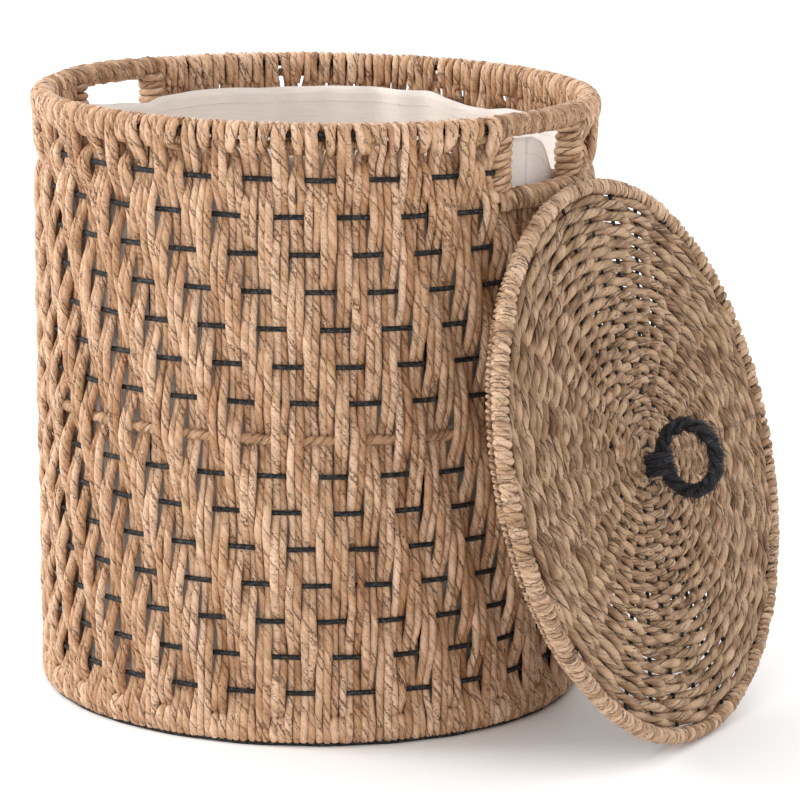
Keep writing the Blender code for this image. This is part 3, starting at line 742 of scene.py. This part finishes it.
def make_rope_ring(axes, material):
    """The three-strand rope ring, and the fuzzy lashing that holds it to the lid."""
    strands = Strands()
    steps, side = 220, np.array([1.0, 0.0, 0.0])
    turn = 2 * np.pi * np.arange(steps) / steps
    ray = np.stack([np.zeros(steps), np.cos(turn), np.sin(turn)], -1)
    for k in range(3):
        twist = ROPE_TURNS * turn + 2 * math.pi * k / 3
        path = ROPE_MIDDLE + ray * ROPE_OVAL * ROPE_RADIUS + ray * (ROPE_OFFSET * np.cos(twist))[:, None]
        path = path + side * (ROPE_OFFSET * np.sin(twist))[:, None]
        size = ROPE_STRAND * (1 + wander(1, steps, 0.10, 40))
        size[0, -12:] = np.linspace(size[0, -12], size[0, 0], 12)
        pitch = 2 * math.pi * ROPE_RADIUS / 22
        strands.add(path[None], ray[None], size, 14, True, pitch=pitch, lobe=0.12, lobes=5)
    place = rng.uniform(0, 2 * math.pi, ROPE_HAIRS)
    level = rng.uniform(0, 2 * math.pi, ROPE_HAIRS)
    ray = np.stack([np.zeros(ROPE_HAIRS), np.cos(place), np.sin(place)], -1)
    along = np.stack([np.zeros(ROPE_HAIRS), -np.sin(place), np.cos(place)], -1)
    away = ray * np.cos(level)[:, None] + side * np.sin(level)[:, None]
    root = ROPE_MIDDLE + ray * ROPE_OVAL * ROPE_RADIUS + away * 0.0054
    add_hairs(strands, root, 0.4 * away + along, (0.0, -0.5, 0.0), 0.0060)
    strands.build("rope_ring_strands", material, "black_rope", "rope_ring", "handle_ring", axes=axes)
    strands = Strands()
    ends = (0.0, LASHING_LOW, LASHING_OUT), (0.0, LASHING_HIGH, LASHING_OUT)
    spine = straight_spine(*ends, side, UP)
    wind(strands, spine, 0.0082, 0.0100, 9, 0.0013, 0.3, 2.2, 20, 6, loose=0.10)
    around = rng.uniform(-0.3, math.pi + 0.3, LASHING_HAIRS)
    away = np.stack([np.cos(around), np.zeros(LASHING_HAIRS), np.sin(around)], -1)
    root = away * [0.0088, 0.0, 0.0104] + np.array([0.0, 0.0, LASHING_OUT])
    root[:, 1] = rng.uniform(LASHING_LOW, LASHING_HIGH, LASHING_HAIRS)
    add_hairs(strands, root, away, (0.0, -1.0, 0.0), 0.0045)
    strands.build("rope_lashing", material, "black_rope", "lid", "handle_lashing", axes=axes)


# The cotton liner


def make_cloth(name, points, closed, material, *nodes):
    """A sheet through a grid of points (row, column, xyz), doubled by its thickness."""
    rows, columns = points.shape[:2]
    grid = np.arange(rows * columns).reshape(rows, columns)
    right = np.roll(grid, -1, axis=1) if closed else grid[:, 1:]
    left = grid if closed else grid[:, :-1]
    faces = np.stack([left[:-1], right[:-1], right[1:], left[1:]], -1).reshape(-1, 4)
    mesh = bpy.data.meshes.new(name)
    mesh.from_pydata(points.reshape(-1, 3).tolist(), [], faces.tolist())
    place = mesh.attributes.new("cloth", "FLOAT_VECTOR", "POINT")
    flat = points.reshape(-1, 3)
    around = np.unwrap(np.arctan2(points[..., 1], points[..., 0]), axis=1).reshape(-1) * 0.2
    upright = np.ptp(flat[:, 2]) > 0.1
    spread = np.stack([around if upright else flat[:, 0], flat[:, 2] if upright else flat[:, 1],
                       np.zeros(len(flat))], -1)
    place.data.foreach_set("vector", spread.astype(np.float32).reshape(-1))
    mesh.shade_smooth()
    mesh.materials.append(material)
    piece = place_piece(name, mesh, "liner_cotton", "liner", *nodes)
    thick = piece.modifiers.new("thickness", "SOLIDIFY")
    thick.thickness, thick.offset = 0.0007, 0.0
    return piece


def make_hem_stitches(angle, level, height, radius, material):
    """The row of stitches that holds the liner's hem, seen from both sides."""
    count, steps = 380, 5
    middle = 2 * np.pi * np.arange(count) / count
    along = middle[:, None] + np.linspace(-0.0062, 0.0062, steps)
    z = np.interp(along % (2 * np.pi), angle, level, period=2 * np.pi)
    column = np.round(middle / (2 * np.pi) * len(angle)).astype(int) % len(angle)
    distance = np.array([np.interp(z[i], height[:, c], radius[:, c]) for i, c in enumerate(column)])
    arch = 0.0002 * (1 - np.linspace(-1, 1, steps) ** 2)
    strands = Strands()
    for face in (-1, 1):
        path, across = around_axis(distance + face * (0.0006 + arch), along, z)
        strands.add(path, np.broadcast_to(UP, path.shape), 0.00028, 5, lobe=0.0)
    return strands.build("liner_stitches", material, "liner_cotton", "liner")


def make_liner(material):
    """A loose round bag: its edge dips at the hand holes and hangs in soft upright folds."""
    low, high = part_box("liner_side")
    base_low, base_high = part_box("liner_bottom")
    seam_radius, seam_z = base_high.x - 0.001, (base_low.z + base_high.z) / 2
    columns, rows = 360, 84
    angle = 2 * np.pi * np.arange(columns) / columns
    from_hole = np.degrees(np.abs((angle + math.pi / 2) % math.pi - math.pi / 2))
    drop = {-8: 0.0, 2: -0.001, 7: 0.003, 10: 0.008, 11: 0.022, 13: 0.029, 20: 0.030, 30: 0.015, 73: 0.009,
            81: 0.015, 88: 0.014, 93: 0.009, 98: 0.003, 125: 0.004, 150: 0.003, 160: 0.005, 167: 0.007,
            170: 0.011, 182: 0.008, 194: 0.002, 340: 0.004}
    top = high.z - np.interp(np.degrees(angle), list(drop), list(drop.values()), period=360)
    for _ in range(2):
        top = (np.roll(top, 1) + top + np.roll(top, -1)) / 3
    top += sum(rng.normal(0, 0.0007) * np.sin(m * angle + rng.uniform(0, 6.28)) for m in range(3, 12))
    share = np.linspace(0, 1, rows)[:, None] ** 1.25
    height = seam_z + (top - seam_z) * share
    folds = sum(rng.normal(0, 1.0) * np.sin(m * angle + rng.uniform(0, 6.28) + share * rng.normal(0, 1.2))
                for m in range(4, 34))
    folds = (folds - folds.min()) / (folds.max() - folds.min())
    least = np.interp(from_hole, [0, 14, 24, 90], [0.0204, 0.0204, 0.0172, 0.0168])
    depth = least + folds * (0.0030 + 0.0052 * share)
    hem = np.clip((height - top + 0.015) / 0.0012, 0, 1)
    depth = depth - 0.0002 * hem
    radius = wall_radius(height) - depth
    turned_in = np.clip(1 - (height - seam_z) / 0.014, 0, 1) ** 2
    radius += turned_in * (seam_radius - radius)
    points = np.stack([radius * np.cos(angle), radius * np.sin(angle), height], -1)
    side = make_cloth("liner_cloth", points, True, material, "liner_side")
    stitches = make_hem_stitches(angle, top - 0.0125, height, radius, material)

    share = np.linspace(0.002, 1, 40)[:, None]
    radius = share * seam_radius
    ripple = sum(rng.normal(0, 0.00025) * np.sin(m * angle + rng.uniform(0, 6.28) + share * 5)
                 for m in range(1, 7))
    height = seam_z + ripple * share * (1 - share) * 4 + 0.0 * angle
    points = np.stack([radius * np.cos(angle), radius * np.sin(angle), height], -1)
    bottom = make_cloth("liner_base_cloth", points, True, material, "liner_bottom")


# The studio

LAMPS = (
    ("key", (-2.6, -1.75, 2.0), 1.5, 76),
    ("fill", (3.1, -1.1, 1.6), 1.8, 3),
    ("back", (-1.4, 2.3, 2.4), 1.8, 18),
)


def make_studio():
    scene = bpy.context.scene
    plane = bpy.data.meshes.new("studio_floor")
    plane.from_pydata([(-9, -9, 0), (9, -9, 0), (9, 9, 0), (-9, 9, 0)], [], [(0, 1, 2, 3)])
    floor = bpy.data.objects.new("studio_floor", plane)
    scene.collection.objects.link(floor)
    plain = bpy.data.materials.new("studio_floor")
    plain.use_nodes = True
    shader = plain.node_tree.nodes["Principled BSDF"]
    shader.inputs["Base Color"].default_value = (0.97, 0.97, 0.97, 1.0)
    shader.inputs["Roughness"].default_value = 0.8
    plane.materials.append(plain)
    world = bpy.data.worlds.new("studio")
    world.use_nodes = True
    world.node_tree.nodes["Background"].inputs["Color"].default_value = (1.0, 1.0, 1.0, 1.0)
    world.node_tree.nodes["Background"].inputs["Strength"].default_value = 1.17
    scene.world = world
    for name, place, size, power in LAMPS:
        light = bpy.data.lights.new(name, "AREA")
        light.energy, light.size = power, size
        lamp = bpy.data.objects.new(name, light)
        lamp.location = place
        towards = Vector((0.05, 0.0, 0.25)) - Vector(place)
        lamp.rotation_euler = towards.to_track_quat("-Z", "Y").to_euler()
        scene.collection.objects.link(lamp)
    scene.view_settings.view_transform = "Standard"
    scene.view_settings.look = "None"


def make_camera():
    """The camera stands in front of the basket, turned 36 degrees towards its right side."""
    turn = math.radians(36.2)
    camera = bpy.data.cameras.new("camera")
    camera.lens, camera.sensor_width = 173.726, 36.0
    eye = bpy.data.objects.new("camera", camera)
    aim = Matrix.Rotation(turn - 0.02294, 4, "Z") @ Matrix.Rotation(math.pi / 2 - 0.20970, 4, "X")
    place = Matrix.Rotation(turn, 4, "Z") @ Vector((0.0, -3.05695, 0.87756))
    eye.matrix_world = Matrix.Translation(place) @ aim @ Matrix.Rotation(0.01411, 4, "Z")
    bpy.context.scene.collection.objects.link(eye)
    bpy.context.scene.camera = eye


def main():
    wall = seagrass("seagrass_weave", srgb(227, 191, 160), srgb(189, 145, 108), srgb(146, 95, 56),
                    srgb(82, 46, 25))
    wrap = seagrass("seagrass_wrap", srgb(214, 180, 146), srgb(178, 139, 105), srgb(136, 95, 63),
                    srgb(78, 48, 29))
    lid = seagrass("lid_seagrass", srgb(185, 154, 123), srgb(144, 111, 81), srgb(98, 67, 41),
                   srgb(50, 30, 15))
    border = seagrass("lid_wrap", srgb(214, 181, 151), srgb(168, 132, 101), srgb(116, 81, 53),
                      srgb(66, 40, 22))
    wire, rope, cloth = black_wire(), black_rope(), cotton()
    make_wall(wall)
    make_wires(wire)
    make_hand_holes(wrap)
    make_wrapped_hoop(wrap)
    make_floor_weave(wall, wire)
    axes = lid_axes()
    make_lid(axes, lid, border, wire)
    make_rope_ring(axes, rope)
    make_liner(cloth)
    make_studio()
    make_camera()


main()
